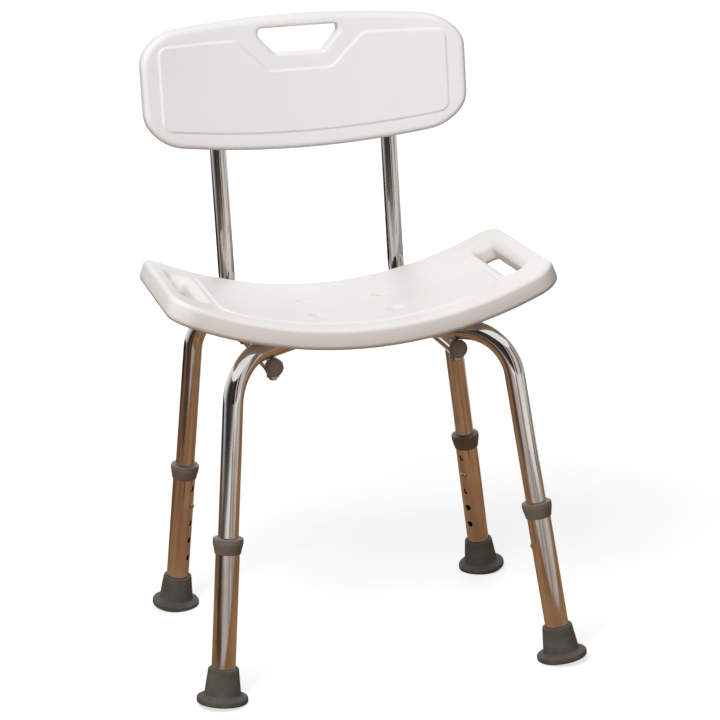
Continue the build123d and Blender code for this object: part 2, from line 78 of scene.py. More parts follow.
SEAT_TOP, SEAT_THICK, SEAT_CURVE, SEAT_HALF_ANGLE, SEAT_DEPTH = 447.0, 28.0, 525.0, 27.2, 285.0
SEAT_CORNER, SEAT_TOP_EDGE, SEAT_FOOT_EDGE, SEAT_DRAFT = 33.0, 6.0, 7.0, 6.0
PAD_PROUD, SEAT_PAD, SEAT_PAD_CORNER = 1.8, (359.0, 226.0), 28.0
GRIP_AT, GRIP_SIZE, GRIP_CORNER, GRIP_TOP_EDGE, GRIP_FOOT_EDGE = 204.5, (23.0, 156.0), 9.0, 10.0, 7.0
DRAINS, DRAIN_RADIUS, DISH_RADIUS, DISH_DEPTH = [(50.0, -66.0), (50.0, 18.0)], 4.5, 14.0, 2.2
TACK_PLACES = [(0.0, 108.0), (70.0, 118.0), (150.0, 52.0)]
TACK_RADIUS, TACK_TIP_RADIUS, TACK_DEPTH = 13.0, 7.0, 13.0
BACK_RADIUS, BACK_WALL, BACK_X, BACK_FRONT = 11.1, 1.2, 118.0, -107.5
BACK_CORNER_Y, BACK_BEND, BACK_LEAN, BACK_TOP = 202.0, 65.0, 3.4, 706.0
CAP_RADIUS, CAP_HEAD, CAP_STEM = 11.9, 4.5, 4.5
PANEL_MIDDLE, PANEL_Y, PANEL_THICK, PANEL_CURVE, PANEL_HALF_WIDTH = 710.0, 225.0, 28.0, 630.0, 219.5
PANEL_TOP, PANEL_TOP_CURVE, PANEL_BOTTOM, PANEL_BOTTOM_CURVE = 797.0, 1800.0, 618.0, 960.0
PANEL_CORNER, PANEL_EDGE, PANEL_GRIP_EDGE, PANEL_GRIP_CORNER = 50.0, 9.0, 5.0, 5.5
PANEL_GRIP = [(34.0, 747.0), (55.0, 771.0), (55.0, 781.0)]
PAD_HALF_WIDTH, PAD_CROWN, PAD_FOOT, PAD_ARCH, PAD_CORNER = 195.0, 769.0, 659.0, 18.0, 12.0
NOTCH_FLOOR, NOTCH_HALF_TOP, NOTCH_HALF_FLOOR = 725.0, 87.0, 42.0
SOCKET_RADIUS, SOCKET_TOP = 15.0, 712.0

BORE_RADIUS = TUBE_RADIUS - TUBE_WALL
BUTTON_AT = COLLAR_TOP - FIRST_HOLE - HOLE_PITCH
CORNER_REACH = FOOT_REACH - FRAME_HEIGHT * tan(radians(LEG_SPLAY))
BACK_HEIGHT = FRAME_HEIGHT - TUBE_RADIUS - BACK_RADIUS
LEGS = {"fl": 180.0 + FRAME_ANGLE, "fr": -FRAME_ANGLE, "rl": 180.0 - FRAME_ANGLE, "rr": FRAME_ANGLE}
TURN = 72  # points round a turned or swept piece
FACE_SPACING, SOCKET_SPACING = 7.0, 2.5  # between points on a plain face, and where the sockets swell


# ---- surfaces -----------------------------------------------------------------------------------
def grid(points, wrap_rows=False):
    """Quads over points[i, j]: corners (i, j), (i + 1, j), (i + 1, j + 1), (i, j + 1), round each row."""
    rows, columns = points.shape[:2]
    i, j = np.meshgrid(np.arange(rows - (not wrap_rows)), np.arange(columns), indexing="ij")
    k, l = (i + 1) % rows, (j + 1) % columns
    corners = [i * columns + j, k * columns + j, k * columns + l, i * columns + l]
    return points.reshape(-1, 3), np.stack(corners, -1).reshape(-1, 4)


def welded(name, points, faces):
    """A mesh in metres of points in millimetres, its seams merged and its faces pointing outwards."""
    mesh = bpy.data.meshes.new(name)
    mesh.from_pydata(((points - [0, FEET_AHEAD, 0]) * MM).tolist(), [], faces)
    shell = bmesh.new()
    shell.from_mesh(mesh)
    bmesh.ops.delete(shell, geom=[v for v in shell.verts if not v.link_faces], context="VERTS")
    bmesh.ops.remove_doubles(shell, verts=shell.verts, dist=2e-6)
    bmesh.ops.recalc_face_normals(shell, faces=shell.faces)
    shell.to_mesh(mesh)
    shell.free()
    return mesh


def built(name, body, material, patches, nodes, crease=40.0):
    """Patches of (points, faces) welded into one closed mesh that stands for some CAD nodes.
    It rides on the body, or on none where none is given."""
    points, faces, count = [], [], 0
    for patch_points, patch_faces in patches:
        points.append(patch_points)
        faces += (patch_faces + count).tolist()
        count += len(patch_points)
    mesh = welded(name, np.vstack(points), faces)
    mesh.shade_smooth()
    mesh.set_sharp_from_angle(angle=radians(crease))
    mesh.materials.append(material)
    piece = bpy.data.objects.new(name, mesh)
    bpy.context.scene.collection.objects.link(piece)
    if body:
        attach(piece, body)
    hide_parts(*nodes)
    return piece


def rounded(corners, radii, steps=6, closed=True):
    """A polygon with each corner turned into an arc: centre + radius (n0 sin((1-t)a) + n1 sin(ta)) / sin a.
    n0 and n1 are square to the two sides that meet there, and a is the angle between them."""
    corners = np.array(corners, float)
    before, after = np.roll(corners, 1, 0) - corners, np.roll(corners, -1, 0) - corners
    u = before / np.linalg.norm(before, axis=1)[:, None]
    v = after / np.linalg.norm(after, axis=1)[:, None]
    half = np.arccos(np.clip((u * v).sum(1), -0.999999, 0.999999)) / 2
    radii = np.broadcast_to(np.array(radii, float), len(corners)).copy()
    if not closed:
        radii[[0, -1]] = 0
    towards = (u + v) / np.linalg.norm(u + v, axis=1)[:, None]
    centre = corners + towards * (radii / np.sin(half))[:, None]
    first = (corners + u * (radii / np.tan(half))[:, None] - centre)[:, None]
    last = (corners + v * (radii / np.tan(half))[:, None] - centre)[:, None]
    angle = (np.pi - 2 * half)[:, None, None]
    t = np.linspace(0, 1, steps)[None, :, None]
    arcs = (first * np.sin((1 - t) * angle) + last * np.sin(t * angle)) / np.sin(angle)
    points = (centre[:, None] + arcs).reshape(-1, 2)
    if not closed:
        points = points[steps - 1 : len(points) - steps + 1]
    return points


def evenly(loop, spacing):
    """A closed loop sampled again at equal distances along its length."""
    ring = np.vstack([loop, loop[:1]])
    along = np.concatenate([[0], np.cumsum(np.linalg.norm(np.diff(ring, axis=0), axis=1))])
    at = np.linspace(0, along[-1], int(along[-1] / spacing) + 1)[:-1]
    return np.stack([np.interp(at, along, ring[:, k]) for k in (0, 1)], -1)


def stepped_out(loop, distance):
    """An anticlockwise loop moved outwards by a distance, along the normal (dy, -dx) of its tangent."""
    tangent = np.roll(loop, -1, 0) - np.roll(loop, 1, 0)
    normal = np.stack([tangent[:, 1], -tangent[:, 0]], -1)
    return loop + distance * normal / np.linalg.norm(normal, axis=1)[:, None]


def border(loop, profile, bend):
    """A profile of (distance outwards, depth) carried round a loop: bend(loop + normal distance, depth)."""
    return grid(np.stack([bend(stepped_out(loop, out), depth) for out, depth in profile]))


def inside(points, loops):
    """True where a line to the right crosses the loops an odd number of times."""
    a = np.vstack(loops)
    b = np.vstack([np.roll(loop, -1, 0) for loop in loops])
    x, y = points[:, :1], points[:, 1:]
    crosses = (a[:, 1] > y) != (b[:, 1] > y)
    rise = np.where(a[:, 1] == b[:, 1], 1, b[:, 1] - a[:, 1])
    return (crosses & (x < (b[:, 0] - a[:, 0]) * (y - a[:, 1]) / rise + a[:, 0])).sum(1) % 2 == 1


def field(loops, spacing, bend, depth=0.0):
    """The surface between closed loops: their points and a square grid, joined by Delaunay triangles."""
    rim = np.vstack(loops)
    sizes = np.array([len(loop) for loop in loops])
    starts = np.repeat(np.cumsum(sizes) - sizes, sizes)
    index = np.arange(len(rim))
    edges = np.stack([index, starts + (index - starts + 1) % np.repeat(sizes, sizes)], -1)
    low, high = rim.min(0), rim.max(0)
    x, y = (np.arange(low[k] + spacing / 2, high[k], spacing) for k in (0, 1))
    net = np.stack(np.meshgrid(x, y, indexing="ij"), -1).reshape(-1, 2)
    net = net[inside(net, loops)]
    gap = np.min([((net - p) ** 2).sum(1) for p in np.array_split(rim, len(rim))], axis=0)
    net = net[gap > (0.6 * spacing) ** 2]
    found = delaunay_2d_cdt(np.vstack([rim, net]).tolist(), edges.tolist(), [], 0, 1e-6)
    points, triangles = np.array(found[0]), np.array(found[2])
    triangles = triangles[inside(points[triangles].mean(1), loops)]
    return bend(points, depth), triangles


def turned(profile, origin, axes):
    """A profile of (radius, height) turned about an axis: origin + r cos(t) x + r sin(t) y + height z."""
    x, y, z = axes
    profile = np.array(profile)
    t = np.linspace(0, 2 * np.pi, TURN, endpoint=False)[None, :, None]
    r, height = profile[:, 0][:, None, None], profile[:, 1][:, None, None]
    return origin + r * np.cos(t) * x + r * np.sin(t) * y + height * z


def swept(path, across, sections):
    """Rings carried along a path in one plane: p + a u + b v for each (a, b) of the path point's ring.
    u lies in the plane, square to the path, and v is the plane's normal."""
    tangent = np.gradient(path, axis=0)
    tangent /= np.linalg.norm(tangent, axis=1)[:, None]
    u = np.cross(across, tangent)
    return path[:, None] + sections[..., :1] * u[:, None] + sections[..., 1:] * np.array(across)


def tube(path, across, outer, inner):
    """A tube with a real wall: out along the outer rings, round the end, back along the inner ones."""
    outside, within = swept(path, across, outer), swept(path, across, inner)
    return grid(np.concatenate([outside, within[::-1]]), wrap_rows=True)


def circle(radius, count):
    """The same ring of points for each of count places along a path."""
    t = np.linspace(0, 2 * np.pi, TURN, endpoint=False)
    ring = radius * np.stack([np.cos(t), np.sin(t)], -1)
    return np.broadcast_to(ring, (count, TURN, 2))


def leg_axes(angle):
    """A leg's foot point and its own axes: Z up the leg from the floor, X towards the middle."""
    out = np.array([cos(radians(angle)), sin(radians(angle)), 0.0])
    splay = radians(LEG_SPLAY)
    up = np.array([0, 0, cos(splay)]) - out * sin(splay)
    inward = out * -cos(splay) - np.array([0, 0, sin(splay)])
    return out * FOOT_REACH, (inward, np.cross(up, inward), up)


# ---- materials ----------------------------------------------------------------------------------
def linear(code):
    """An sRGB hex colour as linear red, green, blue and alpha."""
    channels = [int(code[k : k + 2], 16) / 255 for k in (1, 3, 5)]
    return [c / 12.92 if c <= 0.04045 else ((c + 0.055) / 1.055) ** 2.4 for c in channels] + [1.0]


def add(tree, kind, links=None, **settings):
    """One node with its settings; links names its inputs, each given a value or another node's output."""
    node = tree.nodes.new(kind)
    for name, value in settings.items():
        setattr(node, name, value)
    for name, value in (links or {}).items():
        if isinstance(value, bpy.types.NodeSocket):
            tree.links.new(value, node.inputs[name])
        else:
            node.inputs[name].default_value = value
    return node


def ramp(tree, value, *stops):
    """A colour ramp through (position, sRGB hex) stops."""
    node = add(tree, "ShaderNodeValToRGB", {"Fac": value})
    for extra in stops[2:]:
        node.color_ramp.elements.new(extra[0])
    for element, (position, code) in zip(node.color_ramp.elements, sorted(stops)):
        element.position, element.color = position, linear(code)
    return node.outputs["Color"]


def finish(name):
    """A new material with its node tree, its surface shader and its Object coordinates."""
    material = bpy.data.materials.new(name)
    material.use_nodes = True
    tree = material.node_tree
    place = add(tree, "ShaderNodeTexCoord").outputs["Object"]
    return material, tree, tree.nodes["Principled BSDF"], place


def span(tree, value, low, high):
    """A 0 to 1 value spread over low to high."""
    reach = {"Value": value, "To Min": low, "To Max": high}
    return add(tree, "ShaderNodeMapRange", reach).outputs["Result"]


def chromed_steel_tube():
    """Steel tube, drawn, polished and nickel-chrome plated: a bright mirror with a thin haze from
    polishing, so the painted reflection room shows in long streaks down each tube."""
    material, tree, shader, place = finish("chromed_steel_tube")
    haze = add(tree, "ShaderNodeTexNoise", {"Vector": place, "Scale": 45.0, "Detail": 4.0})
    polish = add(tree, "ShaderNodeTexNoise", {"Vector": place, "Scale": 900.0, "Detail": 2.0})
    tint = ramp(tree, haze.outputs["Fac"], (0.3, "#D6D3D0"), (0.7, "#E1DFDC"))
    tree.links.new(tint, shader.inputs["Base Color"])
    tree.links.new(span(tree, haze.outputs["Fac"], 0.05, 0.13), shader.inputs["Roughness"])
    ripple = {"Height": polish.outputs["Fac"], "Strength": 0.02, "Distance": 0.0002}
    bump = add(tree, "ShaderNodeBump", ripple)
    tree.links.new(bump.outputs["Normal"], shader.inputs["Normal"])
    shader.inputs["Metallic"].default_value = 1.0
    return material


def moulded_hdpe(name, tint, shade, textured=False):
    """White high-density polyethylene, blow-moulded: satin, with the fine orange peel of the mould and
    slight drifts in its gloss. The textured kind has the mould's faint crossed lines, drawn 4.2 mm apart,
    which is a little coarser than the photo's."""
    material, tree, shader, place = finish(name)
    drift = add(tree, "ShaderNodeTexNoise", {"Vector": place, "Scale": 9.0, "Detail": 3.0})
    peel = add(tree, "ShaderNodeTexNoise", {"Vector": place, "Scale": 420.0, "Detail": 3.0})
    colour = ramp(tree, drift.outputs["Fac"], (0.3, shade), (0.7, tint))
    tree.links.new(colour, shader.inputs["Base Color"])
    tree.links.new(span(tree, drift.outputs["Fac"], 0.36, 0.46), shader.inputs["Roughness"])
    height = peel.outputs["Fac"]
    if textured:
        for slope in (45, -45):
            turned_pattern = {"Vector": place, "Rotation": [0, radians(slope), 0]}
            across = add(tree, "ShaderNodeMapping", turned_pattern).outputs[0]
            lines = add(tree, "ShaderNodeTexWave", {"Vector": across, "Scale": 0.1 * pi / 0.0042})
            both = {0: height, 1: lines.outputs["Fac"]}
            height = add(tree, "ShaderNodeMath", both, operation="ADD").outputs[0]
    strength = 0.16 if textured else 0.06
    bump = add(tree, "ShaderNodeBump", {"Height": height, "Strength": strength, "Distance": 0.0004})
    tree.links.new(bump.outputs["Normal"], shader.inputs["Normal"])
    shader.inputs["IOR"].default_value = 1.53
    return material


def moulded_grey(name, light, dark, roughness):
    """Grey-brown injection-moulded plastic: satin, with a slight cloudiness and fine grain."""
    material, tree, shader, place = finish(name)
    cloud = add(tree, "ShaderNodeTexNoise", {"Vector": place, "Scale": 60.0, "Detail": 4.0})
    grain = add(tree, "ShaderNodeTexNoise", {"Vector": place, "Scale": 1400.0, "Detail": 2.0})
    tree.links.new(ramp(tree, cloud.outputs["Fac"], (0.3, dark), (0.7, light)), shader.inputs["Base Color"])
    tree.links.new(
        span(tree, cloud.outputs["Fac"], roughness - 0.05, roughness + 0.07), shader.inputs["Roughness"]
    )
    bump = add(tree, "ShaderNodeBump", {"Height": grain.outputs["Fac"], "Strength": 0.12, "Distance": 0.0002})
    tree.links.new(bump.outputs["Normal"], shader.inputs["Normal"])
    return material


def plated_metal(name, light, dark, roughness):
    """A small plated or polished metal part: bright, with the fine lines of its making."""
    material, tree, shader, place = finish(name)
    cloud = add(tree, "ShaderNodeTexNoise", {"Vector": place, "Scale": 350.0, "Detail": 5.0})
    tree.links.new(ramp(tree, cloud.outputs["Fac"], (0.3, dark), (0.7, light)), shader.inputs["Base Color"])
    tree.links.new(
        span(tree, cloud.outputs["Fac"], roughness - 0.06, roughness + 0.08), shader.inputs["Roughness"]
    )
    bump = add(tree, "ShaderNodeBump", {"Height": cloud.outputs["Fac"], "Strength": 0.08, "Distance": 0.0001})
    tree.links.new(bump.outputs["Normal"], shader.inputs["Normal"])
    shader.inputs["Metallic"].default_value = 1.0
    return material


# ---- frame and back tubes -------------------------------------------------------------------------
def frame_path():
    """Half of a frame tube's middle line from the crossing outwards, as (reach, height, flatness).
    The height and the flatness run from the crossing to the round tube as 3t^2 - 2t^3."""
    t = np.linspace(0, 1, 13)
    ease = t * t * (3 - 2 * t)
    reach = CROSS_FLAT + (CROSS_ROUND - CROSS_FLAT) * t
    end = COLLAR_TOP - INSERTION
    foot = (FOOT_REACH - end * sin(radians(LEG_SPLAY)), end * cos(radians(LEG_SPLAY)))
    bend = rounded(
        [(CROSS_ROUND, FRAME_HEIGHT), (CORNER_REACH, FRAME_HEIGHT), foot], FRAME_BEND, steps=25, closed=False
    )[1:]
    middle = [[0.0, 1.0]]
    pressed = np.stack([reach, 1 - ease], -1)
    line = np.concatenate([middle, pressed, np.stack([bend[:, 0], 0 * bend[:, 0]], -1)])
    height = np.concatenate([np.full(len(pressed) + 1, FRAME_HEIGHT), bend[:, 1]])
    return line[:, 0], height, line[:, 1]


def frame_section(flatness, inset):
    """A ring that goes from a circle to a stadium: its two round ends move apart and shrink."""
    t = np.linspace(0, 2 * np.pi, TURN, endpoint=False)[None]
    flat = flatness[:, None]
    radius = TUBE_RADIUS * (1 - flat) + CROSS_THICK / 2 * flat - inset
    apart = (CROSS_WIDTH - CROSS_THICK) / 2 * flat * np.clip(2.5 * np.sin(t), -1, 1)
    return np.stack([radius * np.cos(t), radius * np.sin(t) + apart], -1)


def frame_tube(letter, angle, side, chrome):
    """One of the two frame tubes: round legs, a bend at each side, and a pressed flat in the middle."""
    reach, height, flatness = frame_path()
    height = height + side * (TUBE_RADIUS - CROSS_THICK / 2) * flatness
    reach = np.concatenate([-reach[:0:-1], reach])
    height, flatness = (np.concatenate([v[:0:-1], v]) for v in (height, flatness))
    turn = radians(angle)
    path = np.stack([reach * cos(turn), reach * sin(turn), height], -1)
    across = np.array([-sin(turn), cos(turn), 0])
    shell = tube(path, across, frame_section(flatness, 0), frame_section(flatness, TUBE_WALL))
    name = f"frame_tube_{letter}"
    return built(f"{name}_chromed", "frame", chrome, [shell], [name])


def back_tube(side, x, chrome):
    """The tube under the seat that turns up into the backrest, with a soft lip at its open end."""
    line = rounded(
        [
            (BACK_FRONT, BACK_HEIGHT),
            (BACK_CORNER_Y, BACK_HEIGHT),
            (BACK_CORNER_Y + (BACK_TOP - BACK_HEIGHT) * tan(radians(BACK_LEAN)), BACK_TOP),
        ],
        BACK_BEND,
        steps=33,
        closed=False,
    )
    path = np.stack([np.full(len(line), x), line[:, 0], line[:, 1]], -1)
    count = len(path)
    shell = tube(path, (1, 0, 0), circle(BACK_RADIUS, count), circle(BACK_RADIUS - BACK_WALL, count))
    name = f"back_tube_{side}"
    return built(f"{name}_chromed", "frame", chrome, [shell], [name])


def back_tube_cap(side, x, grey):
    """The domed plug: a head with a full round rim, and a stem inside the tube."""
    profile = rounded(
        [
            (0, CAP_HEAD),
            (CAP_RADIUS - 3, CAP_HEAD - 0.3),
            (CAP_RADIUS, CAP_HEAD - 1.4),
            (CAP_RADIUS, 0),
            (BACK_RADIUS - BACK_WALL, 0),
            (BACK_RADIUS - BACK_WALL, -CAP_STEM),
            (0, -CAP_STEM),
        ],
        [0, 1.5, 1.4, 0.4, 0, 0.5, 0],
        closed=False,
    )
    axes = (np.array([1.0, 0, 0]), np.array([0, 0, 1.0]), np.array([0, -1.0, 0]))
    cap = turned(profile, np.array([x, BACK_FRONT, BACK_HEIGHT]), axes)
    name = f"back_tube_cap_{side}"
    return built(f"{name}_moulded", "frame", grey, [grid(cap)], [name])


# ---- telescopic legs ---------------------------------------------------------------------------
def lower_leg_tube(leg, angle, chrome):
    """The outer leg tube, unrolled as (distance round, height), with a soft lip round each hole."""
    origin, axes = leg_axes(angle)
    bottom, top = CUP_FLOOR + WASHER_THICK, COLLAR_TOP - COLLAR_CAP
    heights = COLLAR_TOP - FIRST_HOLE - HOLE_PITCH * np.arange(HOLE_COUNT)
    half_round = np.pi * LOWER_RADIUS

    def wrap(points, depth):
        turn = points[:, 0] / LOWER_RADIUS
        radius = LOWER_RADIUS - depth
        x, y, z = axes
        return (
            origin
            + (radius * np.cos(turn))[:, None] * x
            + (radius * np.sin(turn))[:, None] * y
            + points[:, 1:] * z
        )

    count = 10
    ticks = np.linspace(-1, 1, count + 1)
    square = np.concatenate(
        [
            np.stack([ticks[:-1], -np.ones(count)], -1),
            np.stack([np.ones(count), ticks[:-1]], -1),
            np.stack([-ticks[:-1], np.ones(count)], -1),
            np.stack([-np.ones(count), -ticks[:-1]], -1),
        ]
    )
    half = 8.0
    ring = HOLE_RADIUS * square / np.linalg.norm(square, axis=1)[:, None]
    patches = []
    for depth in (0.0, LOWER_WALL):
        for height in heights:
            share = np.linspace(1, 0, 7) ** 1.5
            rings = ring + (half * square - ring) * share[:, None, None]
            rings[-1] = ring * (1 + HOLE_LIP / HOLE_RADIUS)
            rings = rings + [0, height]
            surface = np.stack([wrap(r, depth) for r in rings])
            patches.append(grid(surface))
        across = np.concatenate([half * ticks, np.linspace(half, 2 * half_round - half, 53)[1:-1]])
        rows = [np.linspace(bottom, heights[-1] - half, 8)]
        for height in heights[::-1]:
            rows.append(height + half * ticks)
            if height < heights[0]:
                rows.append(np.linspace(height + half, height + HOLE_PITCH - half, 7)[1:-1])
        rows.append(np.linspace(heights[0] + half, top, 6)[1:])
        up = np.unique(np.round(np.concatenate(rows), 6))
        u, v = np.meshgrid(across, up, indexing="ij")
        wall = wrap(np.stack([u.ravel(), v.ravel()], -1), depth).reshape(len(across), len(up), 3)
        points, quads = grid(wall.transpose(1, 0, 2))
        middle_u = (across + np.append(across[1:], across[0] + 2 * half_round)) / 2
        middle_v = (up[1:] + up[:-1]) / 2
        on_cell = np.abs(middle_v[:, None] - heights).min(1) < half
        keep = ~(on_cell[:, None] & (np.abs(middle_u) < half)[None])
        patches.append((points, quads[keep.ravel()]))
    for height in heights:
        lip = [(HOLE_LIP, 0.0), (0.1, 0.08), (0.0, 0.3), (0.0, LOWER_WALL - 0.2), (HOLE_LIP, LOWER_WALL)]
        rings = [wrap(ring * (1 + out / HOLE_RADIUS) + [0, height], depth) for out, depth in lip]
        patches.append(grid(np.stack(rings)))
    for end in (bottom, top):
        rim = np.stack([across, np.full(len(across), end)], -1)
        patches.append(grid(np.stack([wrap(rim, 0.0), wrap(rim, LOWER_WALL)])))
    name = f"lower_leg_tube_{leg}"
    return built(f"{name}_chromed", f"leg_{leg}", chrome, patches, [name])


def leg_collar(leg, angle, grey):
    """The collar: an upright lip with a full round edge over a tapered skirt."""
    origin, axes = leg_axes(angle)
    top, skirt = COLLAR_TOP, COLLAR_TOP - COLLAR_HEIGHT
    slide, sleeve = TUBE_RADIUS + 0.05, LOWER_RADIUS - LOWER_WALL
    profile = rounded(
        [
            (slide, top),
            (COLLAR_RADIUS, top),
            (COLLAR_RADIUS, top - 6.8),
            (COLLAR_FOOT_RADIUS, skirt),
            (LOWER_RADIUS, skirt),
            (LOWER_RADIUS, top - COLLAR_CAP),
            (sleeve, top - COLLAR_CAP),
            (sleeve, top - SLEEVE_LENGTH),
            (slide, top - SLEEVE_LENGTH),
        ],
        [0.8, 2.2, 2.0, 0.5, 0, 0, 0, 0.3, 0.3],
        steps=7,
    )
    collar = turned(profile, origin, axes)
    name = f"leg_collar_{leg}"
    return built(f"{name}_moulded", f"leg_{leg}", grey, [grid(collar, wrap_rows=True)], [name])


def button_spring(leg, angle, steel):
    """The strip-steel V behind a button: its far arm bears on the tube and its near arm backs the button.
    It rides on no body and stays where it is built."""
    origin, (inward, across, up) = leg_axes(angle)
    near = BORE_RADIUS - BUTTON_BACK - SPRING_THICK / 2
    far = SPRING_THICK / 2 + 0.05 - sqrt(BORE_RADIUS**2 - SPRING_HALF_WIDTH**2)
    corners = [(near, SPRING_TIP), (near, SPRING_BEND), (0, SPRING_FOLD)]
    corners += [(far, SPRING_BEND), (far, SPRING_TIP)]
    line = rounded(corners, [0, 3, 2.5, 3, 0], closed=False)
    steps = np.linspace(0, 1, 6, endpoint=False)[:, None]
    line = np.vstack([a + (b - a) * steps for a, b in zip(line, line[1:])] + [line[-1:]])
    path = origin + line[:, :1] * inward + (line[:, 1:] + BUTTON_AT) * up
    half, flat = SPRING_THICK / 2, SPRING_HALF_WIDTH
    section = rounded([(half, -flat), (half, flat), (-half, flat), (-half, -flat)], 0.1, steps=3)
    rings = swept(path, across, np.broadcast_to(section, (len(path), *section.shape)))
    first, last = (np.broadcast_to(rings[k].mean(0), rings[:1].shape) for k in (0, -1))
    name = f"button_spring_{leg}"
    strip = [grid(np.concatenate([first, rings, last]))]
    piece = built(f"{name}_bent", None, steel, strip, [name])
    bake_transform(piece)


def rubber_foot(leg, angle, rubber):
    """The cup and flange, with rings in the tread, cut off level where it stands on the floor."""
    origin, axes = leg_axes(angle)
    flange_top = FOOT_BASE + FLANGE_THICK
    rings = [(r + out, FOOT_BASE + sunk) for r in TREAD_RINGS for out, sunk in TREAD_GROOVE]
    profile = rounded(
        [
            (0, FOOT_BASE),
            *rings,
            (FLANGE_RADIUS, FOOT_BASE),
            (FLANGE_RADIUS, flange_top),
            (CUP_BASE_RADIUS, flange_top + 2.4),
            (CUP_RIM_RADIUS, FOOT_HEIGHT),
            (LOWER_RADIUS, FOOT_HEIGHT),
            (LOWER_RADIUS, CUP_FLOOR),
            (0, CUP_FLOOR),
        ],
        [0, *[0.3] * len(rings), 3.0, 2.6, 2.5, 1.8, 0.6, 0, 0],
        steps=8,
        closed=False,
    )
    foot = turned(profile, origin, axes)
    foot[..., 2] = np.maximum(foot[..., 2], 0)
    name = f"rubber_foot_{leg}"
    return built(f"{name}_moulded", f"leg_{leg}", rubber, [grid(foot)], [name])


# ---- seat ----------------------------------------------------------------------------------------
def on_seat(points, depth):
    """A place on the seat, (distance along the curve, depth-wise y) and depth under the top skin:
    x = (R + depth) sin(a / R), z = centre - (R + depth) cos(a / R)."""
    turn = points[:, 0] / SEAT_CURVE
    radius = SEAT_CURVE + depth
    return np.stack(
        [radius * np.sin(turn), points[:, 1], SEAT_TOP + SEAT_CURVE - radius * np.cos(turn)], -1
    )


def box_loop(middle, half_width, half_depth, corner, spacing):
    """An anticlockwise rounded rectangle of evenly spaced points."""
    corners = np.array([(-1, -1), (1, -1), (1, 1), (-1, 1)]) * [half_width, half_depth] + middle
    return evenly(rounded(corners, corner, steps=16), spacing)


def edge_profile(top, bottom, thick, lean=-1.0, round_off=2.0, draft=0.0):
    """Round the edge of a slab: |1 - out/r|^n + |1 - depth/r|^n = 1 above, a wall, and a quarter circle.
    n = 2 is a circle, and a smaller n a softened bevel. The wall leans inwards by its draft angle."""
    t = np.linspace(0, np.pi / 2, 9)
    share = 2 / round_off
    upper = np.stack([lean * top * (1 - np.sin(t) ** share), top * (1 - np.cos(t) ** share)], -1)
    lower = np.stack([lean * bottom * (1 - np.cos(t)), thick - bottom + bottom * np.sin(t)], -1)
    profile = np.concatenate([upper, lower])
    profile[:, 0] += lean * tan(radians(draft)) * np.maximum(profile[:, 1] - top, 0)
    return profile


def step_profile(inner, outer, proud):
    """A soft step down from a raised pad: depth = -proud (1 - 3t^2 + 2t^3), level for 1 mm at each side."""
    t = np.linspace(0, 1, 9)
    step = np.stack([inner + (outer - inner) * t, -proud * (1 - t * t * (3 - 2 * t))], -1)
    return np.concatenate([[(inner - 1, -proud)], step, [(outer + 1, 0)]])


def along_seat(x):
    """The distance along the seat's curve of a point that is x from the middle."""
    return SEAT_CURVE * asin(x / SEAT_CURVE)


def spot(x, y, radius):
    """An anticlockwise circle on the seat, x being the distance across from the middle."""
    t = np.linspace(0, 2 * np.pi, 48, endpoint=False)
    return np.stack([along_seat(x) + radius * np.cos(t), y + radius * np.sin(t)], -1)


def drain_profile():
    """Down a drain: a shallow dish, depth = D (1 - 3s^2 + 2s^3), a soft lip, the hole's wall and its foot."""
    s = np.linspace(1, 0, 10)
    floor_at = DISH_DEPTH - PAD_PROUD
    dish = floor_at - DISH_DEPTH * s * s * (3 - 2 * s)
    dish = np.stack([1.2 + (DISH_RADIUS - DRAIN_RADIUS - 1.2) * s, dish], -1)
    level = [(DISH_RADIUS - DRAIN_RADIUS + 2.5, -PAD_PROUD), (DISH_RADIUS - DRAIN_RADIUS + 0.8, -PAD_PROUD)]
    lip = [(0.4, floor_at + 0.3), (0.0, floor_at + 1.1)]
    foot = [(0.0, SEAT_THICK - 1.2), (0.35, SEAT_THICK - 0.35), (1.2, SEAT_THICK), (2.2, SEAT_THICK)]
    return np.concatenate([level, dish, lip, foot])


def tack_profile():
    """Into a tack from the underside: a soft mouth, a tapered wall and a round-edged floor."""
    gap, floor_at = TACK_RADIUS - TACK_TIP_RADIUS, SEAT_THICK - TACK_DEPTH
    return rounded(
        [(1.2, SEAT_THICK), (0, SEAT_THICK), (-gap, floor_at), (-TACK_RADIUS, floor_at)],
        [0, 1.5, 2.5, 0],
        steps=7,
        closed=False,
    )


def frame_channels():
    """What the frame tubes take out of the seat's underside: an arched groove along each tube and a
    wider flat one at the crossing. Each is an outline (across, height) carried along the tube."""
    clear = TUBE_RADIUS + 0.02
    t = np.linspace(0, np.pi, 33)
    below_seat = FRAME_HEIGHT - 60
    arch = np.stack([clear * np.cos(t), FRAME_HEIGHT + clear * np.sin(t)], -1)
    groove = np.concatenate([arch, [(-clear, below_seat), (clear, below_seat)]])
    wide, top = CROSS_WIDTH / 2 + 0.3, FRAME_HEIGHT + TUBE_RADIUS + 0.05
    slab = np.array([(wide, below_seat), (wide, top), (-wide, top), (-wide, below_seat)])
    cutters = []
    for angle in (FRAME_ANGLE, -FRAME_ANGLE):
        turn = radians(angle)
        along, across = np.array([cos(turn), sin(turn), 0]), np.array([-sin(turn), cos(turn), 0])
        for outline, reach in ((groove, CORNER_REACH - 30), (slab, CROSS_ROUND)):
            ring = outline[:, :1] * across + outline[:, 1:] * np.array([0, 0, 1.0])
            middle = ring.mean(0)
            ends = [middle + 0 * ring - reach * along, ring - reach * along]
            ends += [ring + reach * along, middle + 0 * ring + reach * along]
            cutters.append(grid(np.stack(ends)))
    return cutters


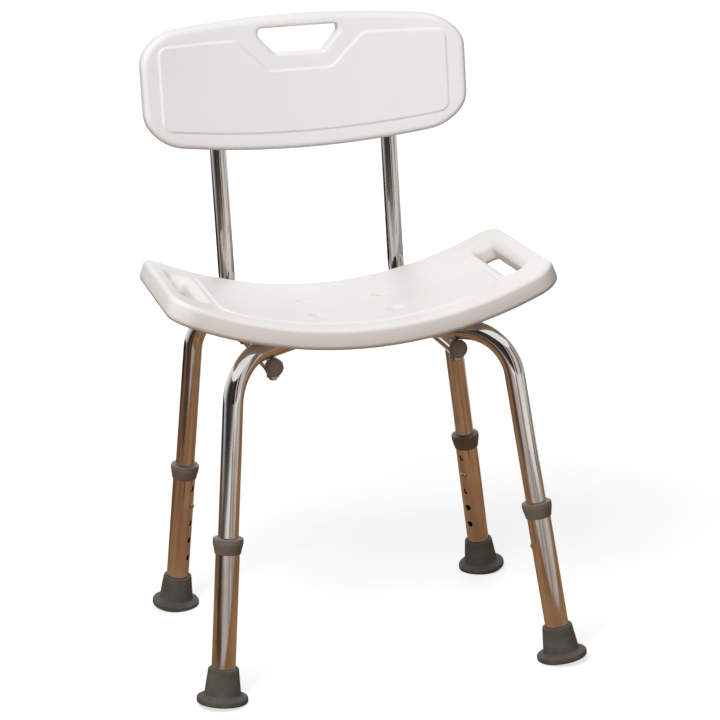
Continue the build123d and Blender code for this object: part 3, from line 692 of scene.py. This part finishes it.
def carved(piece, cutters, crease):
    """The piece less each closed cutter, worked out by a Boolean modifier and kept as its mesh."""
    for points, faces in cutters:
        cutter = bpy.data.objects.new("cutter", welded("cutter", points, faces.tolist()))
        bpy.context.scene.collection.objects.link(cutter)
        cut = piece.modifiers.new("cut", "BOOLEAN")
        cut.object, cut.operation, cut.solver = cutter, "DIFFERENCE", "EXACT"
        bpy.context.view_layer.update()
        depsgraph = bpy.context.evaluated_depsgraph_get()
        less = bpy.data.meshes.new_from_object(piece.evaluated_get(depsgraph))
        piece.modifiers.clear()
        piece.data = less
        bpy.data.objects.remove(cutter)
    piece.data.shade_smooth()
    piece.data.set_sharp_from_angle(angle=radians(crease))
    return piece


def seat_shell(plastic):
    """The seat: a rounded slab bent to an arc, with two hand slots, a raised pad, four drains, the
    tacks in its underside and the grooves for the frame."""
    arc = radians(SEAT_HALF_ANGLE) * SEAT_CURVE
    rim = box_loop((0, 0), arc, SEAT_DEPTH / 2, SEAT_CORNER, 4.0)
    pad = box_loop((0, 0), along_seat(SEAT_PAD[0] / 2), SEAT_PAD[1] / 2, SEAT_PAD_CORNER, 3.0)
    slots = [
        box_loop((side * along_seat(GRIP_AT), 0), GRIP_SIZE[0] / 2, GRIP_SIZE[1] / 2, GRIP_CORNER, 2.0)
        for side in (-1, 1)
    ]
    drains = [spot(side * x, y, DRAIN_RADIUS) for x, y in DRAINS for side in (-1, 1)]
    tacks = [
        spot(x, side * y, TACK_RADIUS)
        for x_out, y in TACK_PLACES
        for x in sorted({-x_out, x_out})
        for side in (-1, 1)
    ]
    rims = [
        (rim, edge_profile(SEAT_TOP_EDGE, SEAT_FOOT_EDGE, SEAT_THICK, draft=SEAT_DRAFT)),
        (pad, step_profile(-2.6, 1.4, PAD_PROUD)),
    ]
    rims += [(slot, edge_profile(GRIP_TOP_EDGE, GRIP_FOOT_EDGE, SEAT_THICK, 1.0, 1.5)) for slot in slots]
    rims += [(hole, drain_profile()) for hole in drains]
    patches = [border(loop, profile, on_seat) for loop, profile in rims]
    patches += [border(loop, tack_profile(), on_seat) for loop in tacks]
    start = [stepped_out(loop, profile[0][0]) for loop, profile in rims]
    foot = [stepped_out(loop, profile[-1][0]) for loop, profile in rims]
    mouths = [stepped_out(loop, tack_profile()[0][0]) for loop in tacks]
    patches.append(field([start[0], foot[1], start[2], start[3]], FACE_SPACING, on_seat))
    patches.append(field([start[1], *start[4:]], FACE_SPACING, on_seat, -PAD_PROUD))
    patches.append(field([foot[0], *foot[2:], *mouths], FACE_SPACING, on_seat, SEAT_THICK))
    seat = built("seat_moulding", "frame", plastic, patches, ["seat_shell"], crease=50)
    return carved(seat, frame_channels(), 50)


# ---- backrest -------------------------------------------------------------------------------------
def on_panel(points, depth):
    """A place on the backrest, (x, height) and distance behind its middle surface:
    y = Y + (sqrt((R + d)^2 - x^2) - R) / cos(lean) + (height - middle) tan(lean)."""
    lean = radians(BACK_LEAN)
    x, height = points[:, 0], points[:, 1]
    bow = np.sqrt((PANEL_CURVE + depth) ** 2 - x**2) - PANEL_CURVE
    return np.stack([x, PANEL_Y + bow / cos(lean) + (height - PANEL_MIDDLE) * tan(lean), height], -1)


def panel_rear(points, depth):
    """The rear half: the panel pushed back to the larger of its skin and the sockets round the tubes,
    all of the way at the rear skin and none at the middle, by 3t^2 - 2t^3."""
    half, blend = PANEL_THICK / 2, 3.0
    rear = on_panel(points, half)[:, 1]
    x, height = points[:, 0], points[:, 1]
    beyond = np.maximum(height - (SOCKET_TOP - 8), 0) * SOCKET_RADIUS / 14
    room = SOCKET_RADIUS**2 - (np.abs(x) - BACK_X) ** 2 - beyond**2
    axis = BACK_CORNER_Y + (height - BACK_HEIGHT) * tan(radians(BACK_LEAN))
    socket = np.where(room > 0, axis + np.sqrt(np.maximum(room, 0)), axis - 20)
    h = np.clip(0.5 + 0.5 * (socket - rear) / blend, 0, 1)
    bulge = (socket - rear) * h + blend * h * (1 - h) * (h < 1)
    share = np.clip(depth / half, 0, 1)
    skin = on_panel(points, depth)
    skin[:, 1] += bulge * share * share * (3 - 2 * share)
    return skin


def panel_outline():
    """The backrest from the front: a rounded rectangle whose top and bottom are then bowed by x^2 / 2R."""
    middle, half = (PANEL_TOP + PANEL_BOTTOM) / 2, (PANEL_TOP - PANEL_BOTTOM) / 2
    loop = box_loop((0, middle), PANEL_HALF_WIDTH, half, PANEL_CORNER, 3.0)
    share = (loop[:, 1] - PANEL_BOTTOM) / (PANEL_TOP - PANEL_BOTTOM)
    bow = loop[:, 0] ** 2 / 2
    loop[:, 1] += bow * ((1 - share) / PANEL_BOTTOM_CURVE - share / PANEL_TOP_CURVE)
    return evenly(loop, 3.0)


def pad_outline():
    """The raised area: straight sides, a notch round the hand hole, and a foot that falls as x^2 does."""
    right = [
        (PAD_HALF_WIDTH, PAD_FOOT), (PAD_HALF_WIDTH, PAD_CROWN), (NOTCH_HALF_TOP, PAD_CROWN),
        (NOTCH_HALF_FLOOR, NOTCH_FLOOR),
    ]
    left = [(-x, height) for x, height in reversed(right)]
    loop = evenly(rounded(right + left, PAD_CORNER, steps=12), 2.0)
    share = np.clip((PAD_CROWN - loop[:, 1]) / (PAD_CROWN - PAD_FOOT), 0, 1) ** 2
    loop[:, 1] -= PAD_ARCH * (1 - (loop[:, 0] / PAD_HALF_WIDTH) ** 2) * share * (share > 0.3)
    return evenly(loop, 2.0)


def back_panel(plastic, textured):
    """The backrest: a bowed slab with a hand hole, a raised pad that drops round it, and two sockets."""
    rim = panel_outline()
    hole = PANEL_GRIP + [(-x, height) for x, height in reversed(PANEL_GRIP)]
    hole = evenly(rounded(hole, PANEL_GRIP_CORNER, steps=10), 1.2)
    pad = pad_outline()
    half = PANEL_THICK / 2
    rim_profile = edge_profile(PANEL_EDGE, PANEL_EDGE, PANEL_THICK) - [0, half]
    hole_profile = edge_profile(PANEL_GRIP_EDGE, PANEL_GRIP_EDGE, PANEL_THICK, 1.0) - [0, half]
    pad_profile = step_profile(-2.8, 1.4, PAD_PROUD) - [0, half]
    patches = [border(rim, rim_profile, panel_rear), border(hole, hole_profile, on_panel)]
    patches.append(border(pad, pad_profile, on_panel))
    front = [stepped_out(rim, rim_profile[0][0]), stepped_out(pad, pad_profile[-1][0])]
    front.append(stepped_out(hole, hole_profile[0][0]))
    patches.append(field(front, FACE_SPACING, on_panel, -half))
    pad_face = field([stepped_out(pad, pad_profile[0][0])], FACE_SPACING, on_panel, -half - PAD_PROUD)
    rear = [stepped_out(rim, rim_profile[-1][0]), stepped_out(hole, hole_profile[-1][0])]
    patches.append(field(rear, SOCKET_SPACING, panel_rear, half))
    patches.append(pad_face)
    panel = built("back_moulding", "frame", plastic, patches, ["back_panel"], crease=50)
    panel.data.materials.append(textured)
    on_pad = np.zeros(len(panel.data.polygons), int)
    on_pad[-len(pad_face[1]) :] = 1
    panel.data.polygons.foreach_set("material_index", on_pad)
    return panel


# ---- stage ----------------------------------------------------------------------------------------
def seen_directly(tree):
    """1 for rays from the camera, off metal or through glass, and 0 for those that carry light."""
    path = add(tree, "ShaderNodeLightPath").outputs
    seen = path["Is Camera Ray"]
    for kind in ("Is Glossy Ray", "Is Transmission Ray"):
        seen = add(tree, "ShaderNodeMath", {0: seen, 1: path[kind]}, operation="MAXIMUM").outputs[0]
    return seen


def world():
    """An even pale surround that lights the object softly and looks white."""
    scene = bpy.context.scene
    scene.world = bpy.data.worlds.new("studio")
    scene.world.use_nodes = True
    tree = scene.world.node_tree
    tree.nodes.clear()
    soft = add(tree, "ShaderNodeBackground", {"Color": linear("#F4F2F0"), "Strength": 0.24})
    white = add(tree, "ShaderNodeBackground", {"Color": linear("#FFFFFF"), "Strength": 1.0})
    mix = add(tree, "ShaderNodeMixShader", {0: seen_directly(tree), 1: soft.outputs[0], 2: white.outputs[0]})
    add(tree, "ShaderNodeOutputWorld", {"Surface": mix.outputs[0]})


def staged(name, mesh, material):
    """A sheet that belongs to the stage and not to the chair."""
    mesh.materials.append(material)
    sheet = bpy.data.objects.new(name, mesh)
    bpy.context.scene.collection.objects.link(sheet)
    return sheet


def bare(name):
    """A material with an empty node tree, and its Object coordinates."""
    material = bpy.data.materials.new(name)
    material.use_nodes = True
    material.node_tree.nodes.clear()
    return material, material.node_tree, add(material.node_tree, "ShaderNodeTexCoord").outputs["Object"]


def nearness(tree, place, reach):
    """1 at the middle of the floor, falling evenly to 0 at the reach."""
    scaled = add(tree, "ShaderNodeMapping", {"Vector": place, "Scale": [1 / reach] * 3})
    ball = {"Vector": scaled.outputs[0]}
    return add(tree, "ShaderNodeTexGradient", ball, gradient_type="SPHERICAL").outputs["Fac"]


def floor():
    """A pale floor that takes the object's shadow and looks white elsewhere, and is clear from below."""
    material, tree, place = bare("studio_floor")
    direct = seen_directly(tree)
    warm_or_plain = {0: direct, 6: linear("#A08A74"), 7: linear("#B4B4B4")}
    tint = add(tree, "ShaderNodeMix", warm_or_plain, data_type="RGBA")
    paint = add(tree, "ShaderNodeBsdfDiffuse", {"Color": tint.outputs[2]})
    level = {"Value": nearness(tree, place, 2.5), "From Max": 0.7, "To Min": 1.0, "To Max": 0.7}
    level = add(tree, "ShaderNodeMapRange", level)
    glow = add(tree, "ShaderNodeEmission", {"Strength": level.outputs["Result"]})
    dark = add(tree, "ShaderNodeEmission", {"Strength": 0.0})
    lit = add(tree, "ShaderNodeMixShader", {0: direct, 1: dark.outputs[0], 2: glow.outputs[0]})
    both = add(tree, "ShaderNodeAddShader", {0: paint.outputs[0], 1: lit.outputs[0]})
    below = add(tree, "ShaderNodeNewGeometry").outputs["Backfacing"]
    clear = add(tree, "ShaderNodeBsdfTransparent")
    sheet = add(tree, "ShaderNodeMixShader", {0: below, 1: both.outputs[0], 2: clear.outputs[0]})
    add(tree, "ShaderNodeOutputMaterial", {"Surface": sheet.outputs[0]})
    mesh = bpy.data.meshes.new("floor")
    corners = [(30 * x, 30 * y, -0.0005) for x, y in ((-1, -1), (1, -1), (1, 1), (-1, 1))]
    mesh.from_pydata(corners, [], [(0, 1, 2, 3)])
    staged("floor", mesh, material)


def painted_reflection_room():
    """Painted reflections for the polished tubes: a glowing sheet of floor, painted brown near the chair, and
    a round wall painted in bands of dark and light. The camera doesn't see it, and it lights nothing but
    mirror-like surfaces."""
    wall = 4.5
    t = np.linspace(0, 2 * np.pi, 96, endpoint=False)
    ring = np.stack([np.cos(t), np.sin(t)], -1)
    profile = [(0.001, 0.0002), (2.0, 0.0002), (wall, 0.0002), (wall, 2.0), (wall, 4.0)]
    rings = [np.concatenate([radius * ring, np.full((96, 1), height)], 1) for radius, height in profile]
    points, faces = grid(np.stack(rings))
    mesh = bpy.data.meshes.new("painted_reflection_room")
    mesh.from_pydata(points.tolist(), [], faces.tolist())
    material, tree, place = bare("painted_reflection_room")

    def share(value, low, high, start=0.0, end=1.0):
        limits = {"Value": value, "From Min": low, "From Max": high, "To Min": start, "To Max": end}
        return add(tree, "ShaderNodeMapRange", limits).outputs[0]

    def over(amount, under, top):
        return add(tree, "ShaderNodeMix", {0: amount, 6: under, 7: top}, data_type="RGBA").outputs[2]

    # Round the room, 0.25 is to the left of the camera's line, 0.5 towards the camera and 0.75 to its right.
    facing_camera = add(tree, "ShaderNodeMapping", {"Vector": place, "Rotation": [0, 0, radians(102)]})
    sweep = {"Vector": facing_camera.outputs[0]}
    round_room = add(tree, "ShaderNodeTexGradient", sweep, gradient_type="RADIAL").outputs["Fac"]
    # Painted reflections: bands of dark and light round the wall, which the tubes mirror as their streaks.
    painted_wall_bands = ramp(
        tree, round_room,
        (0.0, "#F0EFEE"), (0.18, "#E2E0DE"), (0.235, "#C2BFBD"), (0.29, "#6C6765"), (0.34, "#262322"),
        (0.43, "#3A3735"), (0.50, "#2A2725"), (0.53, "#1E1A18"), (0.542, "#C0B49F"), (0.56, "#AFA493"),
        (0.567, "#4A4440"), (0.59, "#4A4440"), (0.60, "#C4BBB6"), (0.68, "#D0C8C3"), (0.70, "#6A6461"),
        (0.735, "#6A6461"), (0.75, "#B0AAA6"), (0.86, "#8E8986"), (0.92, "#EDEBEA"), (1.0, "#F0EFEE"),
    )
    painted_middle_floor = ramp(
        tree, round_room,
        (0.0, "#D8D5D3"), (0.16, "#A8A4A1"), (0.19, "#26221F"), (0.35, "#2E2822"), (0.39, "#6E655F"),
        (0.45, "#B4ABA7"), (0.505, "#B0A8A2"), (0.53, "#8A827B"), (0.56, "#B6AEA7"), (0.585, "#857C75"),
        (0.61, "#A89F97"), (0.68, "#BFB8B1"), (0.73, "#A39A92"), (0.80, "#6A625B"), (0.87, "#C9C5C2"),
        (1.0, "#D8D5D3"),
    )
    painted_outer_floor = ramp(
        tree, round_room,
        (0.0, "#D8D5D3"), (0.21, "#C9C5C2"), (0.28, "#8E8986"), (0.32, "#3A3532"), (0.37, "#6E6863"),
        (0.44, "#E2DEDC"), (0.505, "#EEEBE9"), (0.52, "#857C75"), (0.55, "#857C75"), (0.57, "#E6E2DF"),
        (0.62, "#EAE6E3"), (0.69, "#E2DDDA"), (0.70, "#5C5651"), (0.725, "#5C5651"), (0.74, "#B4ACA6"),
        (0.80, "#8A827B"), (0.87, "#C9C5C2"), (1.0, "#D8D5D3"),
    )
    oval = {"Vector": place, "Location": [-0.22, -0.09, 0], "Scale": [0.9, 1.85, 1]}
    oval = add(tree, "ShaderNodeMapping", oval).outputs[0]
    near_chair = share(nearness(tree, oval, 2.0), 0.34, 0.43)
    # A painted brown reflection near the chair, mottled by noise.
    grain = add(tree, "ShaderNodeTexNoise", {"Vector": place, "Scale": 2.5, "Detail": 1.0}).outputs["Fac"]
    painted_brown_floor = ramp(tree, grain, (0.35, "#7C5A41"), (0.65, "#93704F"))
    colour = over(share(nearness(tree, place, wall), 0.42, 0.34), painted_middle_floor, painted_outer_floor)
    colour = over(near_chair, colour, painted_brown_floor)
    # Painted dark and brown patches on the floor, seen only in the tubes' reflections.
    for x, y, size, code in (
        (-0.9, 1.4, 1.3, "#604938"), (-1.6, 0.6, 1.0, "#6F5039"), (-0.95, -0.52, 0.45, "#4E3B2E"),
        (-2.4, 2.4, 1.9, "#1E1B19"), (1.9, 1.6, 1.0, "#3A3532"),
    ):
        moved = add(tree, "ShaderNodeMapping", {"Vector": place, "Location": [-x, -y, 0]}).outputs[0]
        colour = over(share(nearness(tree, moved, size), 0.0, 0.35), colour, linear(code))
    # A painted pale band low on the wall, seen only in reflections.
    height = add(tree, "ShaderNodeSeparateXYZ", {"Vector": place}).outputs["Z"]
    painted_pale_band = share(height, 0.0, 0.05)
    for limit in (share(height, 0.08, 0.32, 0.95, 0.0), share(round_room, 0.42, 0.48, 0.1)):
        painted_pale_band = add(tree, "ShaderNodeMath", {0: painted_pale_band, 1: limit}, operation="MULTIPLY").outputs[0]
    painted_wall_bands = over(painted_pale_band, painted_wall_bands, linear("#EFEDEB"))
    colour = over(share(height, 0.02, 0.12), colour, painted_wall_bands)
    # The painted reflections glow, though no lamp is there.
    painted_reflection_glow = add(tree, "ShaderNodeEmission", {"Color": colour, "Strength": 1.2})
    add(tree, "ShaderNodeOutputMaterial", {"Surface": painted_reflection_glow.outputs[0]})
    sheet = staged("painted_reflection_room", mesh, material)
    sheet.visible_camera = sheet.visible_diffuse = sheet.visible_transmission = False
    sheet.visible_shadow = sheet.visible_volume_scatter = False


def softbox(name, place, size, power, aim=(0, 0, 0.42)):
    """A square area lamp turned to face a point."""
    lamp = bpy.data.lights.new(name, "AREA")
    lamp.shape, lamp.size, lamp.energy = "SQUARE", size, power
    light = bpy.data.objects.new(name, lamp)
    light.location = place
    light.rotation_euler = (Vector(aim) - Vector(place)).to_track_quat("-Z", "Y").to_euler()
    light.visible_glossy = False
    bpy.context.scene.collection.objects.link(light)


def camera():
    """The view: from the front left, above the seat, with a long lens."""
    yaw, pitch, roll = 0.2207, 0.2503, -0.0463
    ahead = Vector((sin(yaw) * cos(pitch), cos(yaw) * cos(pitch), -sin(pitch)))
    right = Vector((cos(yaw), -sin(yaw), 0))
    up = right.cross(ahead)
    across = right * cos(roll) + up * sin(roll)
    above = up * cos(roll) - right * sin(roll)
    lens = bpy.data.cameras.new("camera")
    lens.lens, lens.sensor_width = 118.06, 36.0
    view = bpy.data.objects.new("camera", lens)
    view.matrix_world = Matrix((across, above, -ahead)).transposed().to_4x4()
    view.location = (-0.6324, -2.9012, 1.1268)
    bpy.context.scene.collection.objects.link(view)
    bpy.context.scene.camera = view


bpy.context.scene.view_settings.view_transform = "Standard"
chrome = chromed_steel_tube()
seat_plastic = moulded_hdpe("white_hdpe_seat", "#F1EEEC", "#ECE9E6")
# The backrest uses a lighter copy of the seat's white, which paints more light on the upright panel and its
# pad.
brightened_back_plastic = moulded_hdpe("white_hdpe_back_lit", "#F5F4F5", "#F1F0F1")
brightened_textured_plastic = moulded_hdpe("white_hdpe_textured_lit", "#F5F4F5", "#F1F0F1", textured=True)
collar_plastic = moulded_grey("collar_nylon", "#787168", "#69625A", 0.42)
cap_plastic = moulded_grey("cap_polyethylene", "#7A6E63", "#6B6055", 0.5)
rubber = moulded_grey("grey_rubber", "#625E59", "#524E4A", 0.72)
zinc = plated_metal("zinc_plated_steel", "#C4C2BC", "#A9A7A2", 0.3)
spring = plated_metal("polished_spring_steel", "#D2D0CC", "#B8B6B2", 0.2)
brass = plated_metal("brass", "#CDAA62", "#A8853F", 0.35)

frame_tube("a", FRAME_ANGLE, -1, chrome)
frame_tube("b", -FRAME_ANGLE, 1, chrome)
for side, x in (("left", -BACK_X), ("right", BACK_X)):
    back_tube(side, x, chrome)
    back_tube_cap(side, x, cap_plastic)
for leg, angle in LEGS.items():
    lower_leg_tube(leg, angle, chrome)
    leg_collar(leg, angle, collar_plastic)
    rubber_foot(leg, angle, rubber)
    button_spring(leg, angle, spring)
seat_shell(seat_plastic)
back_panel(brightened_back_plastic, brightened_textured_plastic)

fasteners = ["frame_centre_bolt", "frame_centre_nut", "seat_bolts", "seat_bolt_saddles", "back_panel_screws"]
for material, names in (
    (zinc, fasteners + [f"foot_washer_{leg}" for leg in LEGS]),
    (brass, ["seat_inserts"]),
    (spring, [f"snap_button_{leg}" for leg in LEGS]),
):
    for name in names:
        mesh = frame["nodes"][name].data
        mesh.materials.clear()
        mesh.materials.append(material)

world()
floor()
painted_reflection_room()
softbox("key_light", (-0.85, -1.3, 1.95), 1.0, 40.0, aim=(0.0, 0.0, 0.55))
softbox("back_light", (0.9, 2.3, 1.7), 1.8, 26.0, aim=(0.0, 0.2, 0.5))
camera()
